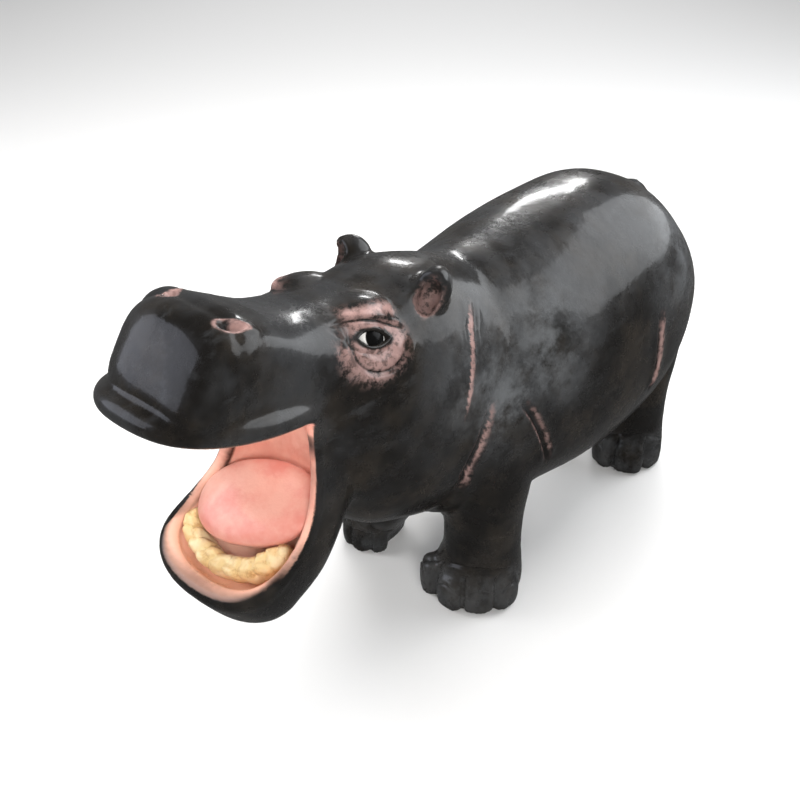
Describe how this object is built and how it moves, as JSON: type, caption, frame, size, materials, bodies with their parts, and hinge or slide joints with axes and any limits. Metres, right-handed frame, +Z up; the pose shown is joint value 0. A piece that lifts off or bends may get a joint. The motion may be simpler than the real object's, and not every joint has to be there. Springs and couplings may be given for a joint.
{
  "type": "hippopotamus statue",
  "caption": "Glossy painted fibreglass hippopotamus statue, standing on four feet with its mouth wide open.",
  "frame": {"origin": "on the floor, below the middle of the box that the statue fills", "axes": "+Z up, -Y the way the animal faces, +X its left side"},
  "size_m": [0.5086, 1.5564, 0.9007],
  "materials": {
    "black_paint": "black-brown paint with mauve-pink touches under a glossy clear coat",
    "mouth_paint": "salmon-pink satin paint",
    "tooth_paint": "cream and ochre paint on rough lumps",
    "eye_paint": "white paint with a black pupil under gloss"
  },
  "bodies": {
    "root": {"head": "black_paint", "neck": "black_paint", "trunk": "black_paint", "lower_jaw": "black_paint", "leg_front_left": "black_paint", "leg_front_right": "black_paint", "leg_rear_left": "black_paint", "leg_rear_right": "black_paint", "tail": "black_paint", "ear_left": "black_paint", "ear_right": "black_paint", "eye_left": "eye_paint", "eye_right": "eye_paint", "tongue": "mouth_paint", "teeth_lower": "tooth_paint"}
  },
  "joints": []
}
